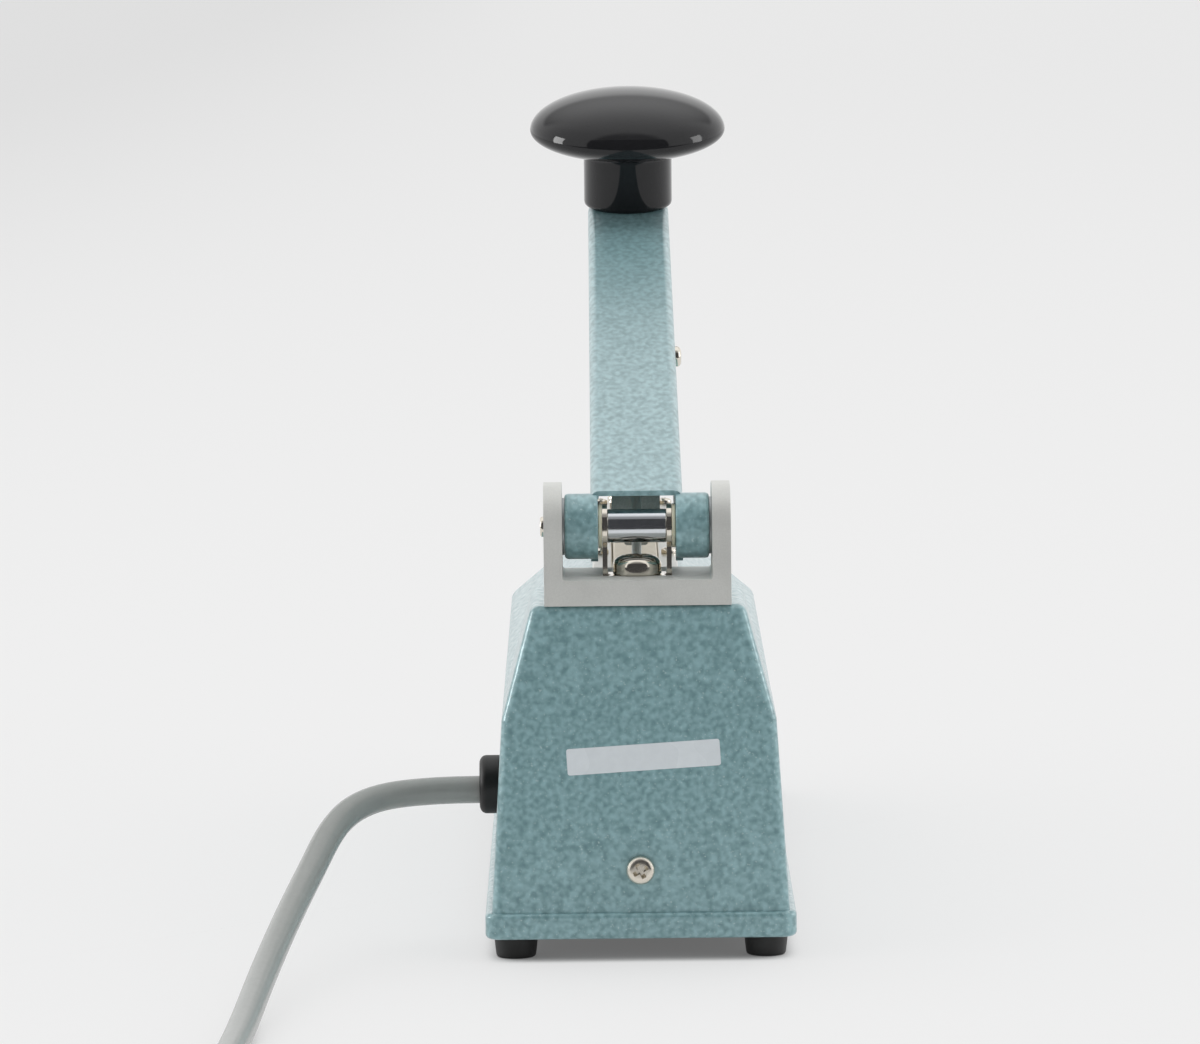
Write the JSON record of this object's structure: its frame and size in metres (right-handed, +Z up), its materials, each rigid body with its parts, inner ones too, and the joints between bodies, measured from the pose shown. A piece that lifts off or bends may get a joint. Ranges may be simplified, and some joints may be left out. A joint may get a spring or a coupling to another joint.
{
  "type": "hand impulse sealer",
  "caption": "Hand-operated heat sealer: a cast housing with a heated bed and a hinged arm with a mushroom knob, raised by a spring rod, that presses bag mouths shut.",
  "frame": {"origin": "on the table top under the feet, at the middle of the object's length and width without its cord", "axes": "+Z up, -Y towards the operator (the knob end), +Y towards the pivot end, +X to the side that the cord leaves on"},
  "size_m": [0.1388, 0.6391, 0.1975],
  "materials": {
    "paint": "hammered paint, semi-gloss",
    "steel": "plain sheet and spring steel",
    "nickel": "bright nickel plate",
    "aluminium": "satin, as extruded",
    "black_rubber": "matt",
    "nylon": "cream nylon",
    "brass": "turned",
    "phenolic": "pressed laminate",
    "cloth": "coated glass cloth",
    "core_steel": "stacked laminations",
    "winding": "enamelled wire",
    "board": "printed circuit board",
    "component": "moulded",
    "black_plastic": "gloss black",
    "lens": "clear red",
    "cord": "grey sheath",
    "silicone": "soft strip"
  },
  "bodies": {
    "base": {"housing": "paint", "base_plate": "steel", "switch_bracket": "steel", "transformer_strap": "steel", "lift_spring": "steel", "bracket_nut": "steel", "potentiometer": "steel", "heating_ribbon": "steel", "cover_screw": "nickel", "foot_screws": "nickel", "pivot_yoke": "nickel", "bracket_screw": "nickel", "axle": "nickel", "spacer_tube": "nickel", "thrust_washers": "nickel", "switch_screws": "nickel", "rail_screws": "nickel", "strip_screws": "nickel", "strap_screws": "nickel", "board_screws": "nickel", "potentiometer_nut": "nickel", "plug_blades": "nickel", "pivot_bracket": "aluminium", "bed_rail": "aluminium", "cloth_strips": "aluminium", "rubber_feet": "black_rubber", "cord_grommet": "black_rubber", "side_washers": "nylon", "guide_bush": "brass", "ribbon_clamps": "brass", "terminal_bolts": "brass", "terminal_nuts": "brass", "board_spacers": "brass", "end_blocks": "phenolic", "terminal_bushes": "phenolic", "insulating_tape": "cloth", "cover_cloth": "cloth", "transformer_core": "core_steel", "transformer_coil": "winding", "timer_board": "board", "timer_relay": "component", "timer_capacitor": "component", "micro_switch": "black_plastic", "lamp_bezel": "black_plastic", "plug": "black_plastic", "cord_tie": "black_plastic", "lamp_lens": "lens", "cord_tail": "cord", "power_cord": "cord", "cord_coil": "cord"},
    "arm": {"arm": "paint", "knob": "black_plastic", "knob_screw": "nickel", "presser_bar": "aluminium", "presser_rubber": "silicone", "presser_pin": "steel", "presser_screw": "nickel"},
    "push_rod": {"push_rod": "nylon"},
    "switch_button": {"switch_button": "nylon"},
    "timer_dial": {"timer_dial": "black_plastic"}
  },
  "joints": [
    {"name": "arm_hinge", "type": "hinge", "parent": "base", "child": "arm", "pos_m": [0, 0.14474, 0.105], "axis": [1, 0, 0], "range_deg": [0, 10.1], "stiffness_Nm_per_rad": 2, "springref_deg": -28.65},
    {"name": "push_rod_slide", "type": "slide", "parent": "base", "child": "push_rod", "axis": [0, 0, -1], "range_m": [0, 0.0037], "deforming": ["lift_spring"]},
    {"name": "switch_button_slide", "type": "slide", "parent": "base", "child": "switch_button", "axis": [0, 0, -1], "range_m": [0, 0.001]},
    {"name": "timer_dial_turn", "type": "hinge", "parent": "base", "child": "timer_dial", "pos_m": [0, -0.11262, 0.03721], "axis": [0, -0.9336, 0.3584], "range_deg": [-150, 150]}
  ],
  "couplings": [
    {"joint": "push_rod_slide", "follows": "arm_hinge", "m_per_rad": 0.020819},
    {"joint": "switch_button_slide", "follows": "arm_hinge", "m_per_rad": 0.005667}
  ]
}
